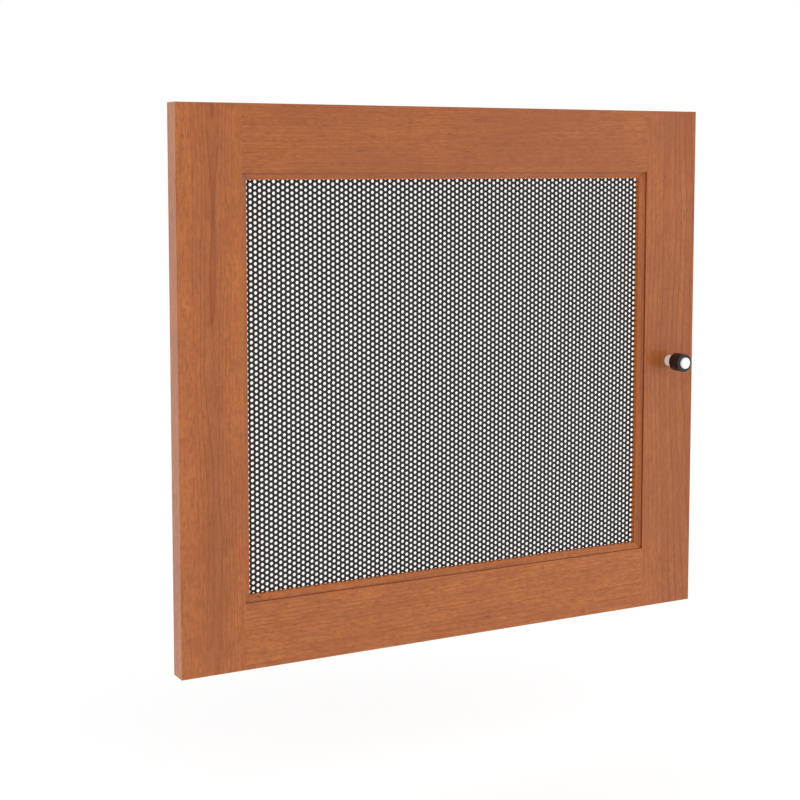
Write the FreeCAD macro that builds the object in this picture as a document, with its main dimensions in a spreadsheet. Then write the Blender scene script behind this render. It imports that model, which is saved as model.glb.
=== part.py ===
import FreeCAD, Part
import Sketcher
import math
import os
import re

# Perforated cabinet door: a wooden frame round a perforated steel sheet, with a round knob and two
# concealed single-pivot hinges.
# Frame of the part: X to the right, Y to the back, Z up. The origin is the middle of the lower hinge
# plate's two screw holes, on the face that lies against the inside of the cabinet's side.

# Driving dimensions in millimetres, degrees where said
SIZES = {
    # door
    "door_width": 513,
    "door_height": 464,
    "door_thickness": 19,
    "overlay": 18,
    "door_gap": 4.5,
    # stiles and rails, with the stepped and bevelled sticking of their inner edge
    "frame_width": 56,
    "sticking_width": 5.4,
    "sticking_step": 2,
    "sticking_drop": 2.9,
    "panel_recess": 9.2,
    "rabbet_width": 8,
    "edge_radius": 0.9,
    # perforated sheet, held by mitred stop beads
    "sheet_thickness": 0.6,
    "sheet_clearance": 0.5,
    "sheet_border": 5,
    "hole_pitch": 23.8125,
    "open_share": 0.4,
    "bead_width": 6,
    "bead_depth": 6,
    "bead_round": 5.4,
    # knob
    "knob_inset": 27.5,
    "knob_reach": 25.4,
    "spindle_diameter": 10.4,
    "spindle_chamfer": 0.6,
    "grip_diameter": 16.6,
    "grip_start": 10,
    "grip_length": 13.6,
    "grip_round": 0.9,
    "grip_clearance": 0.03,
    "knob_screw_diameter": 4,
    "knob_screw_bite": 11,
    "knob_screw_head": 8.4,
    "knob_screw_head_height": 2.6,
    "knob_screw_head_round": 1.4,
    "knob_screw_end_gap": 1,
    "knob_screw_clearance": 0.25,
    "thread_clearance": 0.05,
    # bumpers on the back of the latch stile
    "bumper_diameter": 11,
    "bumper_round": 1.6,
    "bumper_inset": 20,
    # hinges
    "hinge_inset": 88,
    "cup_inset": 20.5,
    "cup_diameter": 34.8,
    "cup_clearance": 0.1,
    "cup_depth": 12.3,
    "cup_floor": 1,
    "flange_thickness": 1,
    "flange_overhang": 1.3,
    "ear_offset": 9.5,
    "ear_width": 12,
    "ear_screw_spacing": 45,
    "ear_round": 4,
    "well_length": 30.6,
    "well_width": 13,
    "pivot_inset": 8.6,
    "pivot_depth": 7.4,
    "pin_diameter": 3,
    "pin_length": 20,
    "pin_running_clearance": 0.05,
    "pin_press_clearance": 0.02,
    "eye_diameter": 5.8,
    "neck_radius": 10.3,
    "neck_sweep": 125,
    "strap_thickness": 2.4,
    "strap_width": 11,
    "arm_length": 50,
    "cheek_thickness": 1.2,
    "cheek_depth": 2.6,
    "cheek_start": 17,
    "cheek_clearance": 0.2,
    "screw_setback": 37,
    "plate_screw_spacing": 32,
    "plate_screw_hole": 5.2,
    "wing_thickness": 2.4,
    "wing_radius": 5,
    "rib_front": 15,
    "rib_back": 4.5,
    "cup_screw_diameter": 3.5,
    "cup_screw_length": 13,
    "cup_screw_head": 6.6,
    "cup_screw_head_height": 1.8,
    "cup_screw_head_taper": 0.8,
    "cup_screw_clearance": 0.2,
    "arm_screw_setback": 31,
    "arm_screw_diameter": 4,
    "arm_screw_length": 7,
    "arm_screw_head": 7.6,
    "arm_screw_head_height": 2.2,
    "arm_screw_head_taper": 0.9,
    "arm_screw_clearance": 0.2,
}

# Places and sizes that follow from the driving dimensions, in the frame of the door unless said: X from
# the hinge edge, Y from the front face to the back, Z from the bottom edge
MEMBER = "(frame_width + sticking_width)"
STICKING_DEPTH = "(sticking_step + sticking_drop)"
RABBET_EDGE = "(frame_width + sticking_width - rabbet_width)"
SHEET_EDGE = f"({RABBET_EDGE} + sheet_clearance)"
SHEET_WIDTH = f"(door_width - 2 * {SHEET_EDGE})"
SHEET_HEIGHT = f"(door_height - 2 * {SHEET_EDGE})"
SHEET_BACK = "(panel_recess + sheet_thickness)"
BEAD_EDGE = f"({RABBET_EDGE} + bead_width)"
PIVOT_Y = "(door_thickness - pivot_depth)"
NECK_X = "(pivot_inset - neck_radius * cos(neck_sweep * 1 deg))"
NECK_Y = f"({PIVOT_Y} + neck_radius * sin(neck_sweep * 1 deg))"
STRAP_INSIDE = "(neck_radius - strap_thickness / 2)"
STRAP_OUTSIDE = "(neck_radius + strap_thickness / 2)"
RIB_HEIGHT = f"({NECK_X} + {STRAP_INSIDE} - overlay)"
PLATE_Y = "(door_thickness + door_gap + screw_setback)"
ARM_SCREW_Y = "(door_thickness + door_gap + arm_screw_setback)"
UPPER_HINGE = "(door_height - hinge_inset)"
HINGES = {"upper": UPPER_HINGE, "lower": "hinge_inset"}
HOLE_RADIUS = "(hole_pitch * sqrt(open_share / 3))"
COLUMN = "(hole_pitch * sqrt(3) / 2)"
COLUMN_PAIRS = f"floor(({SHEET_WIDTH} - 2 * sheet_border) / (2 * {COLUMN}))"
ROWS = f"floor(({SHEET_HEIGHT} - 2 * sheet_border - hole_pitch / 2) / hole_pitch)"

doc = FreeCAD.newDocument("PerforatedDoor")
sheet = doc.addObject("Spreadsheet::Sheet", "sizes")
for row, (alias, value) in enumerate(SIZES.items(), 1):
    sheet.set(f"A{row}", alias)
    sheet.set(f"B{row}", str(value))
    sheet.setAlias(f"B{row}", alias)
doc.recompute()


def sized(text):
    """The expression with each driving dimension's name turned into its cell."""
    return re.sub(r"[a-z_]+", lambda word: f"sizes.{word[0]}" if word[0] in SIZES else word[0], text)


def bind(thing, place, text):
    thing.setExpression(place, sized(text))


def new_body(label, x="0", y="0", z="0"):
    """A body whose own origin lies at a point of the door's frame."""
    body = doc.addObject("PartDesign::Body", label)
    body.Label = label
    bind(body, "Placement.Base.x", f"({x}) - overlay")
    bind(body, "Placement.Base.y", f"({y}) - {PLATE_Y}")
    bind(body, "Placement.Base.z", f"({z}) - hinge_inset")
    return body


def new_sketch(body, plane, offset="0"):
    """A sketch on an origin plane of the body, moved along the plane's normal."""
    sketch = body.newObject("Sketcher::SketchObject", body.Label + "_sketch")
    support = [feature for feature in body.Origin.OriginFeatures if feature.Role == plane][0]
    sketch.AttachmentSupport = (support, [""])
    sketch.MapMode = "FlatFace"
    bind(sketch, "AttachmentOffset.Base.z", offset)
    return sketch


def place_point(sketch, geometry, point, start, x, y):
    """Holds a point of the sketch at two bound coordinates."""
    for kind, text, value in (("DistanceX", x, start.x), ("DistanceY", y, start.y)):
        constraint = Sketcher.Constraint(kind, -1, 1, geometry, point, value)
        index = sketch.addConstraint(constraint)
        bind(sketch, f"Constraints[{index}]", text)


def polygon(sketch, points):
    """A closed outline through points given as pairs of bound coordinates."""
    count = len(points)
    first = sketch.GeometryCount
    turns = [math.tau * corner / count for corner in range(count)]
    starts = [FreeCAD.Vector(math.cos(turn), math.sin(turn), 0) for turn in turns]
    for corner in range(count):
        sketch.addGeometry(Part.LineSegment(starts[corner], starts[(corner + 1) % count]))
    for corner in range(count):
        following = first + (corner + 1) % count
        sketch.addConstraint(Sketcher.Constraint("Coincident", first + corner, 2, following, 1))
    for corner, (x, y) in enumerate(points):
        place_point(sketch, first + corner, 1, starts[corner], x, y)


def rectangle(sketch, left, low, right, high):
    polygon(sketch, [(left, low), (right, low), (right, high), (left, high)])


def circle(sketch, x, y, diameter):
    centre = FreeCAD.Vector(1, 1, 0)
    index = sketch.addGeometry(Part.Circle(centre, FreeCAD.Vector(0, 0, 1), 1))
    place_point(sketch, index, 3, centre, x, y)
    size = sketch.addConstraint(Sketcher.Constraint("Diameter", index, 2))
    bind(sketch, f"Constraints[{size}]", diameter)


def pad(body, sketch, length, reverse=False, middle=False):
    feature = body.newObject("PartDesign::Pad", body.Label + "_pad")
    feature.Profile = sketch
    feature.Reversed = reverse
    if middle:
        feature.SideType = "Symmetric"
    bind(feature, "Length", length)
    doc.recompute()
    return feature


def cut(body, sketch, length=None, reverse=False, middle=False):
    """A pocket of the given depth, or right through on both sides, which has to take material away."""
    before = body.Shape.Volume
    feature = body.newObject("PartDesign::Pocket", body.Label + "_pocket")
    feature.Profile = sketch
    feature.Reversed = reverse
    if length is None:
        feature.Type = "ThroughAll"
    else:
        bind(feature, "Length", length)
    if middle or length is None:
        feature.SideType = "Symmetric"
    doc.recompute()
    if body.Shape.Volume >= before:
        raise RuntimeError(f"a pocket of {body.Label} cuts nothing")
    return feature


def turn(body, points):
    """A solid of revolution about the body's Y axis, from an outline of radius and Y."""
    sketch = new_sketch(body, "XY_Plane")
    polygon(sketch, points)
    feature = body.newObject("PartDesign::Revolution", body.Label + "_revolution")
    feature.Profile = sketch
    feature.ReferenceAxis = (sketch, ["V_Axis"])
    feature.Angle = 360
    doc.recompute()
    return feature


def soften(body, radius, chosen):
    """Rounds the edges of the body's last feature that the test picks."""
    base = body.Tip
    edges = base.Shape.Edges
    names = [f"Edge{number}" for number, edge in enumerate(edges, 1) if chosen(edge.BoundBox)]
    feature = body.newObject("PartDesign::Fillet", body.Label + "_fillet")
    feature.Base = (base, names)
    bind(feature, "Radius", radius)
    doc.recompute()
    return feature


def near(a, b):
    return abs(a - b) < 1e-4


def mirrored(points, span):
    """An outline turned over across the given span of its first coordinate."""
    return [(f"{span} - ({x})", y) for x, y in points]


# Wooden frame

STILE_PROFILE = [
    ("0", "0"),
    ("frame_width", "0"),
    ("frame_width", "sticking_step"),
    (MEMBER, STICKING_DEPTH),
    (MEMBER, "panel_recess"),
    (RABBET_EDGE, "panel_recess"),
    (RABBET_EDGE, "door_thickness"),
    ("0", "door_thickness"),
]
COPED_END = STILE_PROFILE[1:7]
member = SIZES["frame_width"] + SIZES["sticking_width"]


def ease_stile(body, outer):
    """Rounds the outer long edges and the front edges of both ends."""
    height = SIZES["door_height"]

    def chosen(box):
        long_edge = near(box.XMin, outer) and near(box.XMax, outer) and near(box.ZLength, height)
        front_end = near(box.YMin, 0) and near(box.YMax, 0) and near(box.ZLength, 0)
        return long_edge or front_end

    soften(body, "edge_radius", chosen)


def make_stile(label, x, profile, outer):
    body = new_body(label, x=x)
    sketch = new_sketch(body, "XY_Plane")
    polygon(sketch, profile)
    pad(body, sketch, "door_height")
    ease_stile(body, outer)
    return body


def make_rail(label, z, upper):
    """A rail whose ends are coped over the stiles' sticking and fill the stiles' rabbets."""
    body = new_body(label, z=z)
    outline = new_sketch(body, "XY_Plane")
    far_end = mirrored(COPED_END, "door_width")
    polygon(outline, COPED_END + far_end[::-1])
    pad(body, outline, MEMBER)
    sticking = [
        ("frame_width", "0"),
        ("frame_width", "sticking_step"),
        (MEMBER, STICKING_DEPTH),
        (MEMBER, "0"),
    ]
    rabbet = [
        (RABBET_EDGE, "panel_recess"),
        (MEMBER, "panel_recess"),
        (MEMBER, "door_thickness"),
        (RABBET_EDGE, "door_thickness"),
    ]
    edge_cuts = new_sketch(body, "YZ_Plane")
    for profile in (sticking, rabbet):
        heights = mirrored(profile, MEMBER) if upper else profile
        polygon(edge_cuts, [(depth, height) for height, depth in heights])
    cut(body, edge_cuts)
    outer = member if upper else 0

    def chosen(box):
        return near(box.ZMin, outer) and near(box.ZMax, outer) and box.XLength > member

    soften(body, "edge_radius", chosen)
    return body


def drill_from_back(body, x, z, diameter, depth):
    """A blind hole from the door's back face."""
    sketch = new_sketch(body, "XZ_Plane", "-door_thickness")
    circle(sketch, x, z, diameter)
    cut(body, sketch, depth, reverse=True)


hinge_stile = make_stile("hinge_stile", "0", STILE_PROFILE, 0)
CUP_BORE = "cup_diameter + 2 * cup_clearance"
PILOT_BORE = "cup_screw_diameter + 2 * thread_clearance"
for height in HINGES.values():
    drill_from_back(hinge_stile, "cup_inset", height, CUP_BORE, "cup_depth + cup_clearance")
    for side in ("+", "-"):
        screw_z = f"{height} {side} ear_screw_spacing / 2"
        drill_from_back(hinge_stile, "cup_inset + ear_offset", screw_z, PILOT_BORE, "cup_screw_length")

latch_profile = mirrored(STILE_PROFILE, MEMBER)
latch_stile = make_stile("latch_stile", f"door_width - {MEMBER}", latch_profile, member)
knob_hole = new_sketch(latch_stile, "XZ_Plane")
KNOB_BORE = "knob_screw_diameter + 2 * knob_screw_clearance"
circle(knob_hole, f"{MEMBER} - knob_inset", "door_height / 2", KNOB_BORE)
cut(latch_stile, knob_hole)

make_rail("bottom_rail", "0", upper=False)
make_rail("top_rail", f"door_height - {MEMBER}", upper=True)


# Perforated sheet, with hexagonal holes on a staggered grid

panel = new_body("perforated_panel", x=SHEET_EDGE, y=SHEET_BACK, z=SHEET_EDGE)
outline = new_sketch(panel, "XZ_Plane")
rectangle(outline, "0", "0", SHEET_WIDTH, SHEET_HEIGHT)
pad(panel, outline, "sheet_thickness")

first_x = f"({SHEET_WIDTH} - (2 * {COLUMN_PAIRS} - 1) * {COLUMN}) / 2"
first_z = f"({SHEET_HEIGHT} - ({ROWS} - 0.5) * hole_pitch) / 2"
hole_pair = new_sketch(panel, "XZ_Plane")
for column, rise in (("0", "0"), (COLUMN, "hole_pitch / 2")):
    corners = []
    for angle in range(0, 360, 60):
        across = f"{first_x} + {column} + {HOLE_RADIUS} * cos({angle} deg)"
        up = f"{first_z} + {rise} + {HOLE_RADIUS} * sin({angle} deg)"
        corners.append((across, up))
    polygon(hole_pair, corners)
pair_cut = cut(panel, hole_pair)

perforation = panel.newObject("PartDesign::LinearPattern", "perforation")
perforation.Originals = [pair_cut]
perforation.Direction = (hole_pair, ["H_Axis"])
perforation.Direction2 = (hole_pair, ["V_Axis"])
bind(perforation, "Length", f"2 * ({COLUMN_PAIRS} - 1) * {COLUMN}")
bind(perforation, "Occurrences", COLUMN_PAIRS)
bind(perforation, "Length2", f"({ROWS} - 1) * hole_pitch")
bind(perforation, "Occurrences2", ROWS)
panel.Tip = perforation
doc.recompute()


# Mitred stop beads in the rabbet behind the sheet, rounded toward the opening

def make_bead(label, x, z, outline, inner_length):
    body = new_body(label, x=x, y=SHEET_BACK, z=z)
    sketch = new_sketch(body, "XZ_Plane")
    polygon(sketch, outline)
    pad(body, sketch, "bead_depth", reverse=True)

    def chosen(box):
        inner = near(max(box.XLength, box.ZLength), inner_length)
        return inner and near(box.YMin, SIZES["bead_depth"])

    soften(body, "bead_round", chosen)
    return body


BEAD_TALL = f"(door_height - 2 * {RABBET_EDGE})"
BEAD_LONG = f"(door_width - 2 * {RABBET_EDGE})"
upright = [
    ("0", "0"),
    ("bead_width", "bead_width"),
    ("bead_width", f"{BEAD_TALL} - bead_width"),
    ("0", BEAD_TALL),
]
level = [
    ("0", "0"),
    (BEAD_LONG, "0"),
    (f"{BEAD_LONG} - bead_width", "bead_width"),
    ("bead_width", "bead_width"),
]
far_upright = mirrored(upright, "bead_width")
level_over = [(x, f"bead_width - ({z})") for x, z in level]
bead_edge = member - SIZES["rabbet_width"] + SIZES["bead_width"]
inner_height = SIZES["door_height"] - 2 * bead_edge
inner_width = SIZES["door_width"] - 2 * bead_edge
make_bead("hinge_side_bead", RABBET_EDGE, RABBET_EDGE, upright, inner_height)
make_bead("latch_side_bead", f"door_width - {BEAD_EDGE}", RABBET_EDGE, far_upright, inner_height)
make_bead("bottom_bead", RABBET_EDGE, RABBET_EDGE, level, inner_width)
make_bead("top_bead", RABBET_EDGE, f"door_height - {BEAD_EDGE}", level_over, inner_width)


# Knob: a rod with a sleeve near its end, held by a screw from the back of the latch stile

KNOB_X = "door_width - knob_inset"
KNOB_Z = "door_height / 2"
SPINDLE_BORE = "(knob_screw_diameter / 2 + thread_clearance)"
SCREW_SHANK = "(door_thickness + knob_screw_bite - knob_screw_end_gap)"

spindle = new_body("knob_spindle", x=KNOB_X, y="-knob_reach", z=KNOB_Z)
turn(spindle, [
    ("0", "0"),
    ("spindle_diameter / 2 - spindle_chamfer", "0"),
    ("spindle_diameter / 2", "spindle_chamfer"),
    ("spindle_diameter / 2", "knob_reach"),
    (SPINDLE_BORE, "knob_reach"),
    (SPINDLE_BORE, "knob_reach - knob_screw_bite"),
    ("0", "knob_reach - knob_screw_bite"),
])

grip = new_body("knob_grip", x=KNOB_X, y="-(grip_start + grip_length)", z=KNOB_Z)
turn(grip, [
    ("spindle_diameter / 2 + grip_clearance", "0"),
    ("grip_diameter / 2", "0"),
    ("grip_diameter / 2", "grip_length"),
    ("spindle_diameter / 2 + grip_clearance", "grip_length"),
])
soften(grip, "grip_round", lambda box: near(box.XLength, SIZES["grip_diameter"]) and near(box.YLength, 0))

knob_screw = new_body("knob_screw", x=KNOB_X, y="knob_screw_end_gap - knob_screw_bite", z=KNOB_Z)
turn(knob_screw, [
    ("0", "0"),
    ("knob_screw_diameter / 2", "0"),
    ("knob_screw_diameter / 2", SCREW_SHANK),
    ("knob_screw_head / 2", SCREW_SHANK),
    ("knob_screw_head / 2", f"{SCREW_SHANK} + knob_screw_head_height"),
    ("0", f"{SCREW_SHANK} + knob_screw_head_height"),
])
head_top = knob_screw.Shape.BoundBox.YLength
soften(knob_screw, "knob_screw_head_round", lambda box: near(box.YMin, head_top) and near(box.YLength, 0))


# Soft bumpers on the back of the latch stile

for label, height in (("upper_bumper", "door_height - bumper_inset"), ("lower_bumper", "bumper_inset")):
    bumper = new_body(label, x="door_width - bumper_inset", y="door_thickness", z=height)
    turn(bumper, [
        ("0", "0"),
        ("bumper_diameter / 2", "0"),
        ("bumper_diameter / 2", "door_gap"),
        ("0", "door_gap"),
    ])
    soften(bumper, "bumper_round", lambda box: near(box.YMin, SIZES["door_gap"]) and near(box.YLength, 0))


# Hinges: a cup let into the hinge stile, a pin across it, and a goose-neck arm on a plate with two wings

def make_cup(label, height):
    """A die-cast cup with a flange, two screw ears and an open well for the arm."""
    body = new_body(label, x="cup_inset", y="door_thickness", z=height)
    cup = new_sketch(body, "XZ_Plane")
    circle(cup, "0", "0", "cup_diameter")
    pad(body, cup, "cup_depth")
    flange = new_sketch(body, "XZ_Plane")
    circle(flange, "0", "0", "cup_diameter + 2 * flange_overhang")
    pad(body, flange, "flange_thickness", reverse=True)
    ears = new_sketch(body, "XZ_Plane")
    ear_end = "(ear_screw_spacing / 2 + ear_width / 2)"
    rectangle(ears, "ear_offset - ear_width / 2", f"-{ear_end}", "ear_offset + ear_width / 2", ear_end)
    pad(body, ears, "flange_thickness", reverse=True)
    top = SIZES["ear_screw_spacing"] / 2 + SIZES["ear_width"] / 2

    def ear_corner(box):
        straight = near(box.XLength, 0) and near(box.ZLength, 0)
        return straight and near(box.YLength, SIZES["flange_thickness"]) and near(abs(box.ZMin), top)

    soften(body, "ear_round", ear_corner)
    well = new_sketch(body, "XZ_Plane", "-flange_thickness")
    rectangle(well, "-well_length / 2", "-well_width / 2", "well_length / 2", "well_width / 2")
    cut(body, well, "flange_thickness + cup_depth - cup_floor", reverse=True)
    holes = new_sketch(body, "XZ_Plane")
    screw_hole = "cup_screw_diameter + 2 * cup_screw_clearance"
    for side in ("", "-"):
        circle(holes, "ear_offset", f"{side}ear_screw_spacing / 2", screw_hole)
    cut(body, holes, "flange_thickness")
    pin_hole = new_sketch(body, "XY_Plane")
    circle(pin_hole, "pivot_inset - cup_inset", "-pivot_depth", "pin_diameter + 2 * pin_press_clearance")
    cut(body, pin_hole)
    return body


def make_pin(label, height):
    body = new_body(label, x="pivot_inset", y=PIVOT_Y, z=f"{height} - pin_length / 2")
    sketch = new_sketch(body, "XY_Plane")
    circle(sketch, "0", "0", "pin_diameter")
    pad(body, sketch, "pin_length")
    return body


def make_arm(label, height):
    """A channel-shaped arm whose front end curves into the cup and ends in an eye round the pin."""
    body = new_body(label, x=NECK_X, y=NECK_Y, z=height)
    strap = new_sketch(body, "XY_Plane")
    rectangle(strap, STRAP_INSIDE, "0", STRAP_OUTSIDE, "arm_length")
    pad(body, strap, "strap_width", middle=True)
    cheeks = new_sketch(body, "XY_Plane")
    rectangle(cheeks, f"{STRAP_INSIDE} - cheek_depth", "cheek_start", STRAP_INSIDE, "arm_length")
    pad(body, cheeks, "strap_width", middle=True)
    channel = new_sketch(body, "XY_Plane")
    rectangle(channel, f"{STRAP_INSIDE} - cheek_depth", "cheek_start", STRAP_INSIDE, "arm_length")
    cut(body, channel, "strap_width - 2 * cheek_thickness", middle=True)
    section = new_sketch(body, "XZ_Plane")
    rectangle(section, STRAP_INSIDE, "-strap_width / 2", STRAP_OUTSIDE, "strap_width / 2")
    neck = body.newObject("PartDesign::Revolution", label + "_neck")
    neck.Profile = section
    neck.ReferenceAxis = (section, ["V_Axis"])
    neck.Reversed = True
    bind(neck, "Angle", "neck_sweep")
    doc.recompute()
    eye_x = "neck_radius * cos(neck_sweep * 1 deg)"
    eye_y = "-neck_radius * sin(neck_sweep * 1 deg)"
    eye = new_sketch(body, "XY_Plane")
    circle(eye, eye_x, eye_y, "eye_diameter")
    pad(body, eye, "strap_width", middle=True)
    bore = new_sketch(body, "XY_Plane")
    circle(bore, eye_x, eye_y, "pin_diameter + 2 * pin_running_clearance")
    cut(body, bore)
    hole = new_sketch(body, "YZ_Plane")
    circle(hole, f"{ARM_SCREW_Y} - {NECK_Y}", "0", "arm_screw_diameter + 2 * arm_screw_clearance")
    cut(body, hole)
    return body


def make_plate(label, height):
    """A mounting plate with a screw wing on each side of the rib that carries the arm."""
    body = new_body(label, x="overlay", y=PLATE_Y, z=height)
    wings = new_sketch(body, "YZ_Plane")
    rectangle(wings, "-wing_radius", "-plate_screw_spacing / 2", "wing_radius", "plate_screw_spacing / 2")
    pad(body, wings, "wing_thickness")
    for side in ("", "-"):
        end = new_sketch(body, "YZ_Plane")
        circle(end, "0", f"{side}plate_screw_spacing / 2", "2 * wing_radius")
        pad(body, end, "wing_thickness")
    rib = new_sketch(body, "YZ_Plane")
    rib_side = "(strap_width / 2 - cheek_thickness - cheek_clearance)"
    rectangle(rib, "-rib_front", f"-{rib_side}", "rib_back", rib_side)
    pad(body, rib, RIB_HEIGHT)
    holes = new_sketch(body, "YZ_Plane")
    for side in ("", "-"):
        circle(holes, "0", f"{side}plate_screw_spacing / 2", "plate_screw_hole")
    circle(holes, f"{ARM_SCREW_Y} - {PLATE_Y}", "0", "arm_screw_diameter + 2 * thread_clearance")
    cut(body, holes)
    return body


for side, height in HINGES.items():
    make_cup(f"{side}_hinge_cup", height)
    make_pin(f"{side}_hinge_pin", height)
    make_arm(f"{side}_hinge_arm", height)
    make_plate(f"{side}_hinge_plate", height)


# Screws of the hinges, each kind in one group

def place(thing, turned, x, y, z):
    thing.Placement = FreeCAD.Placement(FreeCAD.Vector(), turned)
    bind(thing, "Placement.Base.x", f"({x}) - overlay")
    bind(thing, "Placement.Base.y", f"({y}) - {PLATE_Y}")
    bind(thing, "Placement.Base.z", f"({z}) - hinge_inset")


def make_screws(label, turned, seats, sizes):
    """Screws with tapered pan heads. A seat is the middle of a head's underside, and local Z points out."""
    pieces = []
    for x, y, z in seats:
        head = doc.addObject("Part::Cone", label + "_head")
        bind(head, "Radius1", f"{sizes}_head / 2")
        bind(head, "Radius2", f"{sizes}_head / 2 - {sizes}_head_taper")
        bind(head, "Height", f"{sizes}_head_height")
        place(head, turned, x, y, z)
        shank = doc.addObject("Part::Cylinder", label + "_shank")
        bind(shank, "Radius", f"{sizes}_diameter / 2")
        bind(shank, "Height", f"{sizes}_length")
        back = turned.multVec(FreeCAD.Vector(0, 0, -1))
        steps = [f"{start} + ({step:g}) * {sizes}_length" for start, step in zip((x, y, z), back)]
        place(shank, turned, *steps)
        pieces += [head, shank]
    group = doc.addObject("Part::MultiFuse", label)
    group.Label = label
    group.Shapes = pieces
    return group


toward_back = FreeCAD.Rotation(FreeCAD.Vector(1, 0, 0), -90)
toward_inside = FreeCAD.Rotation(FreeCAD.Vector(0, 1, 0), 90)
cup_seats = []
arm_seats = []
for height in HINGES.values():
    for side in ("+", "-"):
        screw_z = f"{height} {side} ear_screw_spacing / 2"
        cup_seats.append(("cup_inset + ear_offset", "door_thickness + flange_thickness", screw_z))
    arm_seats.append((f"{NECK_X} + {STRAP_OUTSIDE}", ARM_SCREW_Y, height))
make_screws("cup_screws", toward_back, cup_seats, "cup_screw")
make_screws("arm_screws", toward_inside, arm_seats, "arm_screw")

# Each sub-part's shape is checked, then written to its own file

doc.recompute()
subparts = [thing for thing in doc.Objects if thing.TypeId in ("PartDesign::Body", "Part::MultiFuse")]
for thing in doc.Objects:
    if "Invalid" in thing.State or "Error" in thing.State:
        raise RuntimeError(f"{thing.Label} failed: {thing.State}")
for subpart in subparts:
    if subpart.Shape.isNull() or not subpart.Shape.isValid():
        raise RuntimeError(f"{subpart.Label} has no valid shape")
os.makedirs("parts", exist_ok=True)
for subpart in subparts:
    subpart.Shape.exportStep(f"parts/{subpart.Label}.step")
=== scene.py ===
"""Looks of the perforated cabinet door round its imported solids.

Lengths are in metres and angles in degrees. A colour is its red, green and blue on a screen, 0 to 255.
"""

import math
from collections import Counter
from typing import NamedTuple

import bpy
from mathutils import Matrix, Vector


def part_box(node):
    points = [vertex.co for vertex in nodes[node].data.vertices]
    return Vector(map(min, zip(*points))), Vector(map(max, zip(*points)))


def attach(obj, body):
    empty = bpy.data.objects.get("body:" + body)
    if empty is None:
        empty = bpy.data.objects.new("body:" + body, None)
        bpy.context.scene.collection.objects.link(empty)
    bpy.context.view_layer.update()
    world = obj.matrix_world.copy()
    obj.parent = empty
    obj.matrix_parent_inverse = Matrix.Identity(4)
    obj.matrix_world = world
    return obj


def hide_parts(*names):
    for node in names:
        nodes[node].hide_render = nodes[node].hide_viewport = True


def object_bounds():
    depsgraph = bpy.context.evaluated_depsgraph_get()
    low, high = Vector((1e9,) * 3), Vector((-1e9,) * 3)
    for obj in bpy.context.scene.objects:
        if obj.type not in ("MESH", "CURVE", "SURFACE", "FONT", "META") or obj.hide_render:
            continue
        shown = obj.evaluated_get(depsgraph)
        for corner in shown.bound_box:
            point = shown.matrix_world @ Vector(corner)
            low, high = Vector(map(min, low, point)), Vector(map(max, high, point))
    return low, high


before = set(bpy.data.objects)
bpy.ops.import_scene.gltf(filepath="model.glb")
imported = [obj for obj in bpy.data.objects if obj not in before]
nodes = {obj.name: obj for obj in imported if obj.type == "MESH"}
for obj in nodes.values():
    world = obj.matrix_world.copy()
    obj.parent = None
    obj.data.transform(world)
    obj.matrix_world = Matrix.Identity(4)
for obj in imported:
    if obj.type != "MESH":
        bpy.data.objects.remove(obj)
cad_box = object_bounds()


class Stain(NamedTuple):
    """A stain that follows noise, with its waves per metre across and along the grain.

    It begins where the noise is at start, and covers its share of the wood where the noise is at full.
    """

    waves: tuple
    detail: int
    start: float
    full: float
    share: float
    colour: tuple


class Board(NamedTuple):
    """How a board of the frame lies in its log, and how it took the stain.

    Its growth rings are cones round a heart line along the board, in it or beside it. heart_across is
    that line's place on the axis across the board, and heart_depth is how far it lies behind the
    door's face. The rings show by ring_share up to half of ring_reach from the line, and by less past
    ring_reach. The shade is how deep the stain is, and partly painted light too: the top rail is
    darker and the bottom rail lighter, as light from below would leave them. The seed shifts the noise.
    """

    along: str
    inner_edge: float
    heart_across: float
    heart_depth: float
    taper: float
    ring_width: float
    ring_share: float
    ring_reach: float
    shade: float
    seed: float


class Lamp(NamedTuple):
    """A lamp that points at the door's middle: its turn to the viewer's right, its rise and its watts."""

    turn: float
    rise: float
    power: float


INCH = 0.0254
RIGHT = Vector((1, 0, 0))
BACK = Vector((0, 1, 0))
UP = Vector((0, 0, 1))

# The moulded inner edge of the frame: a small step, then a bevel down to the lip beside the sheet
STICKING_WIDTH = 0.0054
STICKING_STEP = 0.002
STICKING_DEPTH = 0.0049
LIP_WIDTH = 0.0009

# Painted light in that edge: warm bounce light on the lip, and shadow under the step, with a soft border
PAINTED_LIP_LIGHT_COLOUR = (184, 91, 0)
PAINTED_STEP_SHADOW_COLOUR = (142, 62, 0)
PAINTED_LIGHT_BLUR = 0.0002

# The bare wood, and the stains that follow noise. The tone's share is its swing about a board's shade
PALE_WOOD = (190, 110, 49)
BLOTCHES = Stain(waves=(60, 34), detail=3, start=0.34, full=0.66, share=1.0, colour=(179, 100, 45))
MOTTLE = Stain(waves=(420, 230), detail=2, start=0.44, full=0.66, share=0.6, colour=(159, 84, 36))
TONE = Stain(waves=(13, 7), detail=1, start=0.36, full=0.64, share=0.2, colour=(151, 79, 33))
STREAKS = Stain(waves=(620, 12), detail=2, start=0.5, full=0.7, share=0.25, colour=(146, 75, 29))
FIBRES = Stain(waves=(950, 110), detail=3, start=0.5, full=0.7, share=0.5, colour=(137, 67, 20))
FLECKS = Stain(waves=(330, 62), detail=1, start=0.7, full=0.77, share=0.6, colour=(104, 46, 24))

# The noise that pushes the growth rings out of round, and how far
DRIFT_WAVES = (16, 2.6)
DRIFT_PUSH = 0.022
RIPPLE_WAVES = (90, 9)
RIPPLE_PUSH = 0.0024

# The late wood at the end of each ring: where it begins, is full and fades, as shares of the ring
LATE_START = 0.7
LATE_FULL = 0.93
LATE_FADE = 0.94
LATE_COLOUR = (137, 67, 30)
LATE_RELIEF = 0.4
PATCH_WAVES = (40, 5)
PATCH_LEAST = 0.2

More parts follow.
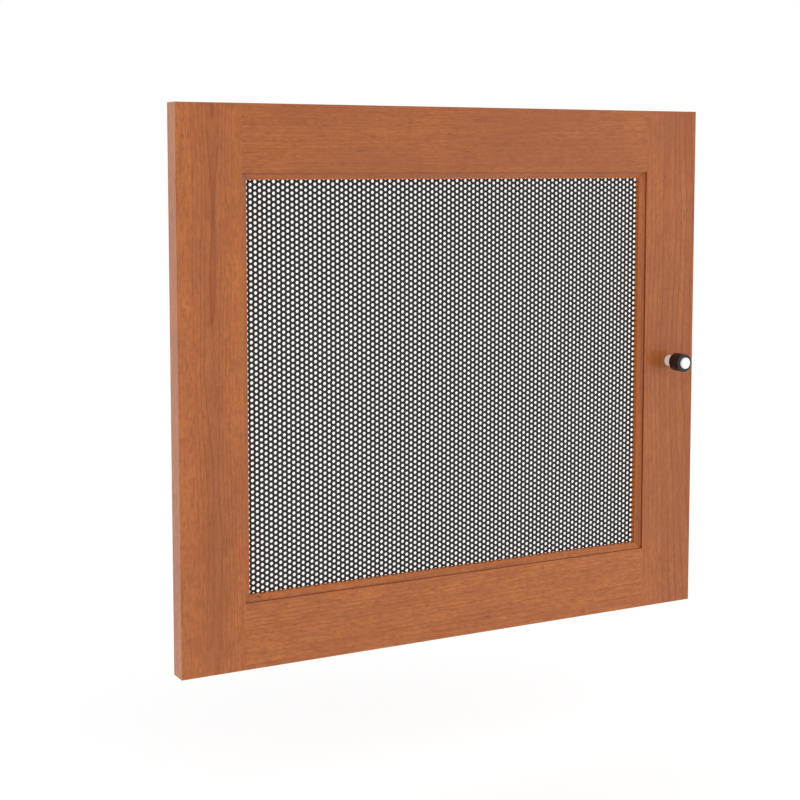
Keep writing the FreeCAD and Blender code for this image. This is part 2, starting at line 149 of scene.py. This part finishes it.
# The darker years, by a random number from 0 to 1 for each ring
YEAR_START = 0.45
YEAR_SHARE = 0.4
YEAR_COLOUR = (150, 78, 34)

# The dark heart, which wanders to both sides of its line
HEART_WANDER = 0.01
HEART_HALF_WIDTH = 0.013
HEART_SHARE = 0.4
HEART_COLOUR = (148, 76, 36)

# How much of the rings shows past their reach, and a reach that takes in any board
FAR_RINGS = 0.35
WHOLE_BOARD = 0.5

# Nearly all of a noise pattern lies in the first span, and of a blend of two in the second
NOISE_SPAN = (0.3, 0.7)
BLEND_SPAN = (0.32, 0.68)

# The perforated sheet: round holes in upright columns, each column half a pitch off its neighbours.
# Faces at its edge that have no more than the sliver's area are left out
HOLE_PITCH = 3 / 16 * INCH
COLUMN_STEP = HOLE_PITCH * math.sqrt(3) / 2
COAT_THICKNESS = 0.00014
HOLE_DIAMETER = 1 / 8 * INCH - 2 * COAT_THICKNESS
HOLE_SIDES = 12
SHEET_MARGIN = 0.0015
SLIVER_AREA = 5e-13

# The pins that hold the beads, square on their rounded face
BEAD_ROUND = 0.0054
PIN_HEAD_RADIUS = 0.0011
PIN_HEAD_HEIGHT = 0.0003
PIN_SUNK = 0.0004
PIN_END_INSET = 0.03
PIN_SPACING = 0.085
PIN_SIDES = 20

# The radius and height of each ring of a pin's domed head, from its sunk foot up
PIN_PROFILE = (
    (PIN_HEAD_RADIUS, -PIN_SUNK),
    (PIN_HEAD_RADIUS, 0.35 * PIN_HEAD_HEIGHT),
    (0.62 * PIN_HEAD_RADIUS, 0.86 * PIN_HEAD_HEIGHT),
)

# The screws: the least gap in height between two of them, and how near two points count as one ring
SCREW_SIDES = 48
SCREW_SPACE = 0.008
PROFILE_STEP = 0.00003
PROFILE_DIGITS = 6

# Their cross recess. Its arms end at a share of the head's flat top, and its floor is narrower
CROSS_REACH = 0.8
CROSS_HALF_ANGLE = 15
CROSS_DEPTH = 0.0011
CROSS_FLOOR_SHARE = 0.7

# Edges that turn by more than this stay sharp
SMOOTH_ANGLE = 40

# The camera stands to the left of the door, as high as its top rail, and looks slightly down.
# Its lens is in millimetres, and its shift is a share of the picture
CAMERA_PLACE = (-0.4516, -1.2425, 0.3267)
CAMERA_TURN = 28.17
CAMERA_TILT = 5.02
CAMERA_LENS = 71.32
CAMERA_SHIFT = -0.12

# The light: a pale room, and a wide soft lamp on each side
ROOM_LIGHT = 0.75
LAMP_WIDTH = 1.1
LAMP_DISTANCE = 2.2
LAMPS = {"key_lamp": Lamp(turn=48, rise=9, power=11), "fill_lamp": Lamp(turn=-66, rise=4, power=9.5)}

# The floor: how far it lies below the door, and its grey where it is seen and where it bounces light
FLOOR_DROP = 0.12
FLOOR_SIZE = 12
FLOOR_CORNERS = ((-1, -1), (1, -1), (1, 1), (-1, 1))
FLOOR_SHADE = 0.6
FLOOR_BOUNCE = 0.95

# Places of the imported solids
hinge_low, hinge_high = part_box("hinge_stile")
latch_low, latch_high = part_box("latch_stile")
sheet_low, sheet_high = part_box("perforated_panel")
spindle_low, spindle_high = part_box("knob_spindle")
face = hinge_low.y


def paint(colour):
    """A screen colour as the linear colour that a shader takes, by the sRGB curve."""
    linear = []
    for value in colour:
        share = value / 255
        linear.append(share / 12.92 if share <= 0.04045 else ((share + 0.055) / 1.055) ** 2.4)
    return (*linear, 1.0)


def grey(share):
    """A linear grey, from 0 for black to 1 for white."""
    return (share, share, share, 1.0)


class Finish:
    """A node material, with short calls for the nodes that the finishes share."""

    def __init__(self, name, **surface):
        self.material = bpy.data.materials.new(name)
        self.material.use_nodes = True
        self.tree = self.material.node_tree
        self.surface = self.tree.nodes["Principled BSDF"]
        for socket, value in surface.items():
            self.set(socket.replace("_", " "), value)

    def set(self, socket, value):
        self.feed(self.surface.inputs[socket], value)

    def feed(self, socket, value):
        if isinstance(value, bpy.types.NodeSocket):
            self.tree.links.new(value, socket)
        else:
            socket.default_value = value

    def add(self, kind, inputs, output=0, **settings):
        """The output of a new node, with its inputs linked or set."""
        node = self.tree.nodes.new("ShaderNode" + kind)
        for name, value in settings.items():
            setattr(node, name, value)
        for key, value in inputs.items():
            self.feed(node.inputs[key], value)
        return node.outputs[output]

    def place(self):
        """The three coordinates of a point, as it lies in the part at rest."""
        point = self.tree.nodes.new("ShaderNodeTexCoord").outputs["Object"]
        node = self.tree.nodes.new("ShaderNodeSeparateXYZ")
        self.feed(node.inputs[0], point)
        return node.outputs

    def point(self, x, y, z):
        return self.add("CombineXYZ", {0: x, 1: y, 2: z})

    def math(self, operation, first, second=0.0):
        return self.add("Math", {0: first, 1: second}, operation=operation)

    def product(self, first, *factors):
        for factor in factors:
            first = self.math("MULTIPLY", first, factor)
        return first

    def distance(self, first, second):
        return self.math("ABSOLUTE", self.math("SUBTRACT", first, second))

    def hypotenuse(self, *legs):
        return self.math("SQRT", self.math("ADD", *[self.product(leg, leg) for leg in legs]))

    def blend(self, first, second, share):
        """A sum of two values, with the given share of the first and the rest of the second."""
        return self.math("ADD", self.product(first, share), self.product(second, 1 - share))

    def noise(self, point, scale, detail=2):
        return self.add("TexNoise", {"Vector": point, "Scale": scale, "Detail": detail})

    def stretched_noise(self, point, waves, detail=2):
        """Noise with its own number of waves per metre along each axis."""
        stretched = self.add("VectorMath", {0: point, 1: waves}, operation="MULTIPLY")
        return self.noise(stretched, 1.0, detail)

    def span(self, value, low, high, to_low=0.0, to_high=1.0):
        """The value spread from one range to another, cut off at both ends."""
        ends = {"From Min": low, "From Max": high, "To Min": to_low, "To Max": to_high}
        return self.add("MapRange", {"Value": value, **ends})

    def mix(self, share, first, second):
        return self.add("Mix", {0: share, 6: first, 7: second}, output=2, data_type="RGBA")

    def colour(self, noise, first, second):
        """A base colour that follows noise from one screen colour to another."""
        self.set("Base Color", self.mix(noise, paint(first), paint(second)))

    def roughness(self, noise, smooth, rough, noise_span=NOISE_SPAN):
        """A roughness that follows noise."""
        self.set("Roughness", self.span(noise, *noise_span, smooth, rough))

    def bump(self, height, distance, strength):
        inputs = {"Height": height, "Distance": distance, "Strength": strength}
        self.set("Normal", self.add("Bump", inputs))


def painted_recess_light(finish, across, y, inner_edge):
    """Masks of painted light: warm bounce light on the lip of the sticking, and painted shadow on its step.
    """
    off_edge = finish.distance(across, inner_edge)
    off_step = finish.distance(off_edge, STICKING_WIDTH)
    low_bevel = face + STICKING_DEPTH - LIP_WIDTH / 2
    foot = face + STICKING_STEP + PAINTED_LIGHT_BLUR
    # mask of painted warm bounce light on the lip, beside the sheet
    painted_lip_light = finish.product(
        finish.span(off_edge, LIP_WIDTH, LIP_WIDTH + PAINTED_LIGHT_BLUR, 1.0, 0.0),
        finish.span(y, low_bevel - PAINTED_LIGHT_BLUR, low_bevel),
        finish.span(y, sheet_low.y, sheet_low.y + PAINTED_LIGHT_BLUR, 1.0, 0.0),
    )
    # mask of painted shadow under the step
    step = finish.product(
        finish.span(off_step, PAINTED_LIGHT_BLUR, 2 * PAINTED_LIGHT_BLUR, 1.0, 0.0),
        finish.span(y, face + PAINTED_LIGHT_BLUR, face + 2 * PAINTED_LIGHT_BLUR),
        finish.span(y, foot, foot + PAINTED_LIGHT_BLUR, 1.0, 0.0),
    )
    return painted_lip_light, step


def wood(name, board):
    """Stained and lacquered wood, with growth rings, fibres and flecks that run along the board."""
    finish = Finish(name)
    x, y, z = finish.place()
    length, across = (z, x) if board.along == "Z" else (x, z)
    grain = finish.point(*[finish.math("ADD", part, board.seed) for part in (across, y, length)])

    def pattern(waves, detail=2):
        across_waves, along_waves = waves
        return finish.stretched_noise(grain, (across_waves, across_waves, along_waves), detail)

    def cover(stain, noise):
        return finish.span(noise, stain.start, stain.full, 0.0, stain.share)

    def stain_layer(stain):
        return cover(stain, pattern(stain.waves, stain.detail)), stain.colour

    drift = pattern(DRIFT_WAVES)
    side = finish.math("SUBTRACT", across, board.heart_across)
    depth = finish.math("SUBTRACT", y, face + board.heart_depth)
    radius = finish.hypotenuse(side, depth)
    pushes = ((length, board.taper), (drift, DRIFT_PUSH), (pattern(RIPPLE_WAVES), RIPPLE_PUSH))
    for push, amount in pushes:
        radius = finish.math("ADD", radius, finish.product(push, amount))
    ring_count = finish.math("DIVIDE", radius, board.ring_width)
    ring = finish.math("FRACT", ring_count)

    wander = finish.span(drift, 0.0, 1.0, -HEART_WANDER, HEART_WANDER)
    off_heart = finish.math("ABSOLUTE", finish.math("ADD", side, wander))
    heart = finish.span(off_heart, 0.0, HEART_HALF_WIDTH, HEART_SHARE, 0.0)
    far_share = FAR_RINGS * board.ring_share
    ring_share = finish.span(off_heart, board.ring_reach / 2, board.ring_reach, board.ring_share, far_share)
    late = finish.product(
        finish.span(ring, LATE_START, LATE_FULL),
        finish.span(ring, 1.0, LATE_FADE),
        finish.span(pattern(PATCH_WAVES), *NOISE_SPAN, PATCH_LEAST, 1.0),
        ring_share,
    )
    year = finish.add("TexWhiteNoise", {"W": finish.math("FLOOR", ring_count)}, noise_dimensions="1D")
    dark_year = finish.product(finish.span(year, YEAR_START, 1.0, 0.0, YEAR_SHARE), ring_share)

    tone = pattern(TONE.waves, TONE.detail)
    shade = finish.span(tone, TONE.start, TONE.full, board.shade - TONE.share, board.shade + TONE.share)
    fibre = pattern(FIBRES.waves, FIBRES.detail)
    # painted light in the sticking: warm bounce light on the lip and painted shadow on the step
    painted_lip_light, step = painted_recess_light(finish, across, y, board.inner_edge)
    colour = paint(PALE_WOOD)
    for share, stain_colour in (
        stain_layer(BLOTCHES),
        stain_layer(MOTTLE),
        (shade, TONE.colour),
        (heart, HEART_COLOUR),
        (dark_year, YEAR_COLOUR),
        (late, LATE_COLOUR),
        stain_layer(STREAKS),
        (cover(FIBRES, fibre), FIBRES.colour),
        stain_layer(FLECKS),
        # painted bounce light on the lip, then painted shadow on the step
        (painted_lip_light, PAINTED_LIP_LIGHT_COLOUR),
        (step, PAINTED_STEP_SHADOW_COLOUR),
    ):
        colour = finish.mix(share, colour, paint(stain_colour))
    finish.set("Base Color", colour)
    finish.roughness(fibre, smooth=0.26, rough=0.4)
    finish.bump(finish.blend(late, fibre, LATE_RELIEF), distance=0.00012, strength=0.35)
    return finish.material


def powder_coat():
    """Black powder coat, with the fine peel that it has up close."""
    finish = Finish("black_powder_coat", Specular_IOR_Level=0.22)
    point = finish.point(*finish.place())
    peel = finish.noise(point, scale=1500)
    cloud = finish.noise(point, scale=45)
    finish.colour(cloud, (42, 33, 26), (51, 41, 34))
    finish.roughness(peel, smooth=0.42, rough=0.58)
    finish.bump(peel, distance=0.00006, strength=0.4)
    return finish.material


def turned_aluminium(axis):
    """Bright aluminium with the fine rings that a lathe leaves round an axis along Y."""
    finish = Finish("turned_aluminium", Metallic=0.1)
    x, y, z = finish.place()
    radius = finish.hypotenuse(finish.math("SUBTRACT", x, axis.x), finish.math("SUBTRACT", z, axis.z))
    rings = finish.noise(finish.point(radius, y, 0.0), scale=2600)
    finish.colour(rings, (243, 243, 243), (251, 251, 251))
    finish.roughness(rings, smooth=0.34, rough=0.48)
    finish.bump(rings, distance=0.00003, strength=0.3)
    return finish.material


def moulded(name, dark, light, roughness, grain_waves, **surface):
    """A moulded plastic or rubber with a fine even grain."""
    finish = Finish(name, **surface)
    point = finish.point(*finish.place())
    grain = finish.noise(point, scale=grain_waves)
    cloud = finish.noise(point, scale=160)
    finish.colour(cloud, dark, light)
    finish.roughness(grain, smooth=roughness - 0.05, rough=roughness + 0.07)
    finish.bump(grain, distance=0.00004, strength=0.35)
    return finish.material


def plated(name, dark, light, roughness, streak_waves):
    """Plated metal with faint streaks from pressing or polishing, and duller spots."""
    finish = Finish(name, Metallic=1.0)
    point = finish.point(*finish.place())
    streaks = finish.stretched_noise(point, streak_waves)
    spots = finish.noise(point, scale=210, detail=3)
    finish.colour(spots, dark, light)
    dull = finish.blend(streaks, spots, share=0.55)
    finish.roughness(dull, smooth=roughness - 0.07, rough=roughness + 0.1, noise_span=BLEND_SPAN)
    finish.bump(streaks, distance=0.00003, strength=0.25)
    return finish.material


def mesh_object(name, points, faces, material):
    mesh = bpy.data.meshes.new(name)
    mesh.from_pydata(points, [], faces)
    mesh.validate()
    mesh.shade_smooth()
    mesh.set_sharp_from_angle(angle=math.radians(SMOOTH_ANGLE))
    mesh.materials.append(material)
    piece = bpy.data.objects.new(name, mesh)
    bpy.context.scene.collection.objects.link(piece)
    return piece


def edges(loop):
    """The pairs of neighbours round a face."""
    return zip(loop, loop[1:] + loop[:1])


def perforated_half(name, first_column, last_column, material):
    """The part of the sheet between two columns of holes, as one closed mesh.

    Three neighbouring holes leave a web with three arms. Each web is a middle triangle and an arm
    towards each pair of holes. Where the sheet has no hole, the place of the hole is one point,
    and past the sheet's edge that point is drawn back to the edge.
    """
    middle = (sheet_low + sheet_high) / 2
    half_width = (sheet_high.x - sheet_low.x) / 2
    half_height = (sheet_high.z - sheet_low.z) / 2
    radius = HOLE_DIAMETER / 2
    inset = radius + SHEET_MARGIN
    row_count = math.ceil(half_height / HOLE_PITCH) + 1
    third = HOLE_SIDES // 3
    points = []
    first_point = {}

    def corner(column, row, turn):
        """The number of the point at a corner of a hole, or of the one point where there is no hole."""
        x = column * COLUMN_STEP
        z = (row + column % 2 / 2) * HOLE_PITCH
        hole = abs(x) <= half_width - inset and abs(z) <= half_height - inset
        if (column, row) not in first_point:
            first_point[column, row] = len(points)
            if hole:
                for side in range(HOLE_SIDES):
                    angle = math.tau * side / HOLE_SIDES
                    points.append((x + radius * math.cos(angle), z + radius * math.sin(angle)))
            else:
                edge_x = max(-half_width, min(half_width, x))
                edge_z = max(-half_height, min(half_height, z))
                points.append((edge_x, edge_z))
        return first_point[column, row] + (turn % HOLE_SIDES if hole else 0)

    def area(loop):
        return sum(points[a][0] * points[b][1] - points[b][0] * points[a][1] for a, b in edges(loop)) / 2

    faces = []
    for column in range(first_column, last_column):
        for row in range(-row_count, row_count):
            right = row + column % 2
            below = ((column, row), (column + 1, right), (column, row + 1))
            above = ((column, row + 1), (column + 1, right), (column + 1, right + 1))
            for web, start in ((below, 1), (above, -1)):
                turns = [start + third * i for i in range(3)]
                ahead, inner, behind = (
                    tuple(corner(*place, turn + step) for place, turn in zip(web, turns))
                    for step in range(3)
                )
                faces.append(inner)
                for i in range(3):
                    other = (i + 1) % 3
                    faces.append((ahead[i], behind[other], inner[other], inner[i]))
    faces = [tuple(dict.fromkeys(loop)) for loop in faces]
    faces = [loop for loop in faces if len(loop) > 2 and abs(area(loop)) > SLIVER_AREA]

    count = len(points)
    uses = Counter(frozenset(edge) for loop in faces for edge in edges(loop))
    walls = [
        (b, a, a + count, b + count)
        for loop in faces
        for a, b in edges(loop)
        if uses[frozenset((a, b))] == 1
    ]
    backs = [tuple(point + count for point in reversed(loop)) for loop in faces]
    solid = [(middle.x + x, y, middle.z + z) for y in (sheet_low.y, sheet_high.y) for x, z in points]
    return mesh_object(name, solid, faces + backs + walls, material)


def ring_points(middle, ways, reaches):
    """Points evenly round a middle, each at its own reach, in the plane of two ways."""
    points = []
    for side, reach in enumerate(reaches):
        angle = math.tau * side / len(reaches)
        spoke = math.cos(angle) * ways[0] + math.sin(angle) * ways[1]
        points.append(middle + reach * spoke)
    return points


def add_skin(points, faces, rings, tip):
    """Adds a closed skin: a flat end at the first ring, then from ring to ring, and a fan to the tip."""
    first = len(points)
    sides = len(rings[0])
    for ring in rings:
        points.extend(ring)
    last = len(points) - sides
    points.append(tip)
    for start in range(first, last, sides):
        for side in range(sides):
            a = start + side
            b = start + (side + 1) % sides
            faces.append((a, b, b + sides, a + sides))
    for side in range(sides):
        faces.append((last + side, last + (side + 1) % sides, last + sides))
    faces.append(tuple(reversed(range(first, first + sides))))


def bead_pins(material):
    """The domed heads of the pins along the rounded face of each bead."""
    points = []
    faces = []
    for bead, along, inward in (
        ("top_bead", RIGHT, -UP),
        ("bottom_bead", RIGHT, UP),
        ("hinge_side_bead", UP, RIGHT),
        ("latch_side_bead", UP, -RIGHT),
    ):
        low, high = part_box(bead)
        half = (high - low) / 2
        outward = (inward + BACK).normalized()
        ways = (along, along.cross(outward))
        round_middle = (low + high) / 2 + abs(half.dot(inward)) * inward + half.y * BACK
        round_middle -= BEAD_ROUND * (inward + BACK)
        reach = half.dot(along) - PIN_END_INSET
        gaps = math.ceil(2 * reach / PIN_SPACING)
        for number in range(gaps + 1):
            seat = round_middle + BEAD_ROUND * outward + (2 * number / gaps - 1) * reach * along
            rings = [
                ring_points(seat + height * outward, ways, [radius] * PIN_SIDES)
                for radius, height in PIN_PROFILE
            ]
            add_skin(points, faces, rings, seat + PIN_HEAD_HEIGHT * outward)
    return mesh_object("bead_pins", points, faces, material)


def separate_screws(node):
    """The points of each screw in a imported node, from the lowest screw up."""
    spots = [node.matrix_world @ vertex.co for vertex in node.data.vertices]
    spots.sort(key=lambda spot: spot.z)
    screws = [[]]
    for below, spot in zip(spots[:1] + spots, spots):
        if spot.z - below.z > SCREW_SPACE:
            screws.append([])
        screws[-1].append(spot)
    return screws


def screw_profile(screw, axis, head_way):
    """The height and radius of each ring of a screw, from its foot up to the edge of its flat top."""
    rings = []
    for spot in screw:
        height = spot.dot(head_way)
        radius = (spot - height * head_way - axis).length
        rings.append((round(height, PROFILE_DIGITS), radius))
    profile = []
    for height, radius in sorted(rings):
        known = any(math.dist((height, radius), ring) < PROFILE_STEP for ring in profile)
        if radius > PROFILE_STEP and not known:
            profile.append((height, radius))
    return profile


def cross_outline(reach, angle):
    """How far an upright cross reaches from its middle at an angle in radians."""
    quarter = math.pi / 2
    off_arm = abs((angle + quarter / 2) % quarter - quarter / 2)
    half_width = reach * math.tan(math.radians(CROSS_HALF_ANGLE))
    end = reach / math.cos(off_arm)
    return end if end * math.sin(off_arm) <= half_width else half_width / math.sin(off_arm)


def cross_screws(name, node, head_way, material):
    """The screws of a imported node, turned from the same profiles, with a cross recess in each head."""
    ways = (UP, head_way.cross(UP))
    angles = [math.tau * side / SCREW_SIDES for side in range(SCREW_SIDES)]
    points = []
    faces = []
    for screw in separate_screws(node):
        axis = Vector()
        for way in ways:
            places = [spot.dot(way) for spot in screw]
            axis += (min(places) + max(places)) / 2 * way
        profile = screw_profile(screw, axis, head_way)
        top, flat_radius = profile[-1]
        floor_height = top - CROSS_DEPTH
        cross = [cross_outline(CROSS_REACH * flat_radius, angle) for angle in angles]
        levels = [(height, [radius] * SCREW_SIDES) for height, radius in profile]
        levels.append((top, cross))
        levels.append((floor_height, [CROSS_FLOOR_SHARE * reach for reach in cross]))
        rings = [ring_points(axis + height * head_way, ways, reaches) for height, reaches in levels]
        add_skin(points, faces, rings, axis + floor_height * head_way)
    return mesh_object(name, points, faces, material)


# Finishes of the imported solids
# Each board's shade is its stain depth and partly painted light: top rail darker, bottom rail lighter, as
# if lit from below
boards = {
    "hinge_stile": Board(
        along="Z",
        inner_edge=hinge_high.x,
        heart_across=(hinge_low.x + hinge_high.x) / 2,
        heart_depth=0.006,
        taper=-0.009,
        ring_width=0.0026,
        ring_share=0.9,
        ring_reach=0.024,
        shade=0.14,
        seed=0.0,
    ),
    "latch_stile": Board(
        along="Z",
        inner_edge=latch_low.x,
        heart_across=latch_high.x + 0.02,
        heart_depth=0.05,
        taper=-0.02,
        ring_width=0.0041,
        ring_share=1.0,
        ring_reach=WHOLE_BOARD,
        shade=0.36,
        seed=3.1,
    ),
    "top_rail": Board(
        along="X",
        inner_edge=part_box("top_rail")[0].z,
        heart_across=hinge_high.z + 0.12,
        heart_depth=0.05,
        taper=0.012,
        ring_width=0.0027,
        ring_share=0.55,
        ring_reach=WHOLE_BOARD,
        shade=0.38,
        seed=5.7,
    ),
    "bottom_rail": Board(
        along="X",
        inner_edge=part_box("bottom_rail")[1].z,
        heart_across=hinge_low.z - 0.03,
        heart_depth=0.04,
        taper=-0.02,
        ring_width=0.0034,
        ring_share=0.65,
        ring_reach=WHOLE_BOARD,
        shade=-0.15,
        seed=9.3,
    ),
}
woods = {name: wood(f"{name}_wood", board) for name, board in boards.items()}
sheet_steel = powder_coat()
bright_aluminium = turned_aluminium((spindle_low + spindle_high) / 2)
sleeve_black = moulded("sleeve_black", (17, 15, 15), (25, 22, 22), roughness=0.34, grain_waves=2400)
bumper_clear = moulded(
    "bumper_clear",
    (205, 203, 196),
    (222, 220, 214),
    roughness=0.3,
    grain_waves=1600,
    Subsurface_Weight=0.35,
)
hinge_cast = plated("hinge_cast", (176, 174, 169), (198, 196, 192), 0.3, streak_waves=(120, 120, 900))
hinge_steel = plated("hinge_steel", (186, 184, 180), (210, 208, 204), 0.26, streak_waves=(900, 120, 120))
screw_steel = plated("screw_steel", (168, 167, 164), (196, 195, 192), 0.3, streak_waves=(400, 400, 400))
pin_steel = plated("pin_steel", (128, 112, 82), (160, 143, 106), 0.36, streak_waves=(700, 700, 700))

finishes = {
    **woods,
    "top_bead": woods["top_rail"],
    "bottom_bead": woods["bottom_rail"],
    "hinge_side_bead": woods["hinge_stile"],
    "latch_side_bead": woods["latch_stile"],
    "perforated_panel": sheet_steel,
    "knob_spindle": bright_aluminium,
    "knob_grip": sleeve_black,
    "knob_screw": screw_steel,
    "cup_screws": screw_steel,
    "arm_screws": screw_steel,
}
for level in ("upper", "lower"):
    finishes[f"{level}_bumper"] = bumper_clear
    finishes[f"{level}_hinge_cup"] = hinge_cast
    finishes[f"{level}_hinge_arm"] = hinge_steel
    finishes[f"{level}_hinge_plate"] = hinge_cast
    finishes[f"{level}_hinge_pin"] = hinge_steel
for name, material in finishes.items():
    nodes[name].data.materials.clear()
    nodes[name].data.materials.append(material)

# The sheet with its true holes, in two meshes that meet at the middle column
outer_column = math.ceil((sheet_high.x - sheet_low.x) / (2 * COLUMN_STEP)) + 1
for name, columns in (
    ("perforated_sheet_hinge_side", (-outer_column, 0)),
    ("perforated_sheet_latch_side", (0, outer_column)),
):
    half = perforated_half(name, *columns, sheet_steel)
    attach(half, "door")
    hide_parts("perforated_panel")

# Small fasteners
pins = bead_pins(pin_steel)
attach(pins, "door")

for node, body, head_way in (
    ("knob_screw", "door", BACK),
    ("cup_screws", "door", BACK),
    ("arm_screws", "hinge_mounts", RIGHT),
):
    screws = cross_screws(f"cross_{node}", nodes[node], head_way, screw_steel)
    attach(screws, body)
    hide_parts(node)


def seen_share(tree):
    """One for what the camera sees, directly, mirrored or through clear matter, and zero for light."""
    path = tree.nodes.new("ShaderNodeLightPath")
    seen = path.outputs["Is Camera Ray"]
    for name in ("Is Glossy Ray", "Is Transmission Ray"):
        either = tree.nodes.new("ShaderNodeMath")
        either.operation = "MAXIMUM"
        tree.links.new(seen, either.inputs[0])
        tree.links.new(path.outputs[name], either.inputs[1])
        seen = either.outputs[0]
    return seen


def white_floor():
    """A matt pale floor that shows white, with the door's soft shadow on it."""
    material = bpy.data.materials.new("floor_white")
    material.use_nodes = True
    tree = material.node_tree
    tree.nodes.clear()
    bounce = tree.nodes.new("ShaderNodeBsdfDiffuse")
    bounce.inputs["Color"].default_value = grey(FLOOR_BOUNCE)
    shade = tree.nodes.new("ShaderNodeBsdfDiffuse")
    shade.inputs["Color"].default_value = grey(FLOOR_SHADE)
    glow = tree.nodes.new("ShaderNodeEmission")
    glow.inputs["Strength"].default_value = 1 - FLOOR_SHADE * ROOM_LIGHT
    both = tree.nodes.new("ShaderNodeAddShader")
    choose = tree.nodes.new("ShaderNodeMixShader")
    output = tree.nodes.new("ShaderNodeOutputMaterial")
    tree.links.new(shade.outputs[0], both.inputs[0])
    tree.links.new(glow.outputs[0], both.inputs[1])
    tree.links.new(seen_share(tree), choose.inputs[0])
    tree.links.new(bounce.outputs[0], choose.inputs[1])
    tree.links.new(both.outputs[0], choose.inputs[2])
    tree.links.new(choose.outputs[0], output.inputs["Surface"])
    return material


# Floor and room
floor_reach = FLOOR_SIZE / 2
floor_level = cad_box[0].z - FLOOR_DROP
floor_points = [(x * floor_reach, y * floor_reach, floor_level) for x, y in FLOOR_CORNERS]
floor = mesh_object("floor", floor_points, [(0, 1, 2, 3)], white_floor())

world = bpy.data.worlds.new("pale_room")
world.use_nodes = True
bpy.context.scene.world = world
background = world.node_tree.nodes["Background"]
background.inputs["Color"].default_value = grey(1.0)
spread = world.node_tree.nodes.new("ShaderNodeMapRange")
spread.inputs["To Min"].default_value = ROOM_LIGHT
spread.inputs["To Max"].default_value = 1.0
world.node_tree.links.new(seen_share(world.node_tree), spread.inputs["Value"])
world.node_tree.links.new(spread.outputs[0], background.inputs["Strength"])

# Lamps and camera
door_middle = (cad_box[0] + cad_box[1]) / 2
for name, setting in LAMPS.items():
    turn = math.radians(setting.turn)
    rise = math.radians(setting.rise)
    towards = Vector((math.sin(turn) * math.cos(rise), -math.cos(turn) * math.cos(rise), math.sin(rise)))
    lamp = bpy.data.objects.new(name, bpy.data.lights.new(name, "AREA"))
    lamp.data.size = LAMP_WIDTH
    lamp.data.energy = setting.power
    lamp.visible_glossy = False
    lamp.location = door_middle + towards * LAMP_DISTANCE
    lamp.rotation_mode = "QUATERNION"
    lamp.rotation_quaternion = (-towards).to_track_quat("-Z", "Y")
    bpy.context.scene.collection.objects.link(lamp)

camera = bpy.data.objects.new("camera", bpy.data.cameras.new("camera"))
camera.data.lens = CAMERA_LENS
camera.data.shift_y = CAMERA_SHIFT
camera.location = CAMERA_PLACE
camera.rotation_euler = (math.radians(90 - CAMERA_TILT), 0, math.radians(-CAMERA_TURN))
bpy.context.scene.collection.objects.link(camera)
bpy.context.scene.camera = camera
bpy.context.scene.view_settings.view_transform = "Standard"
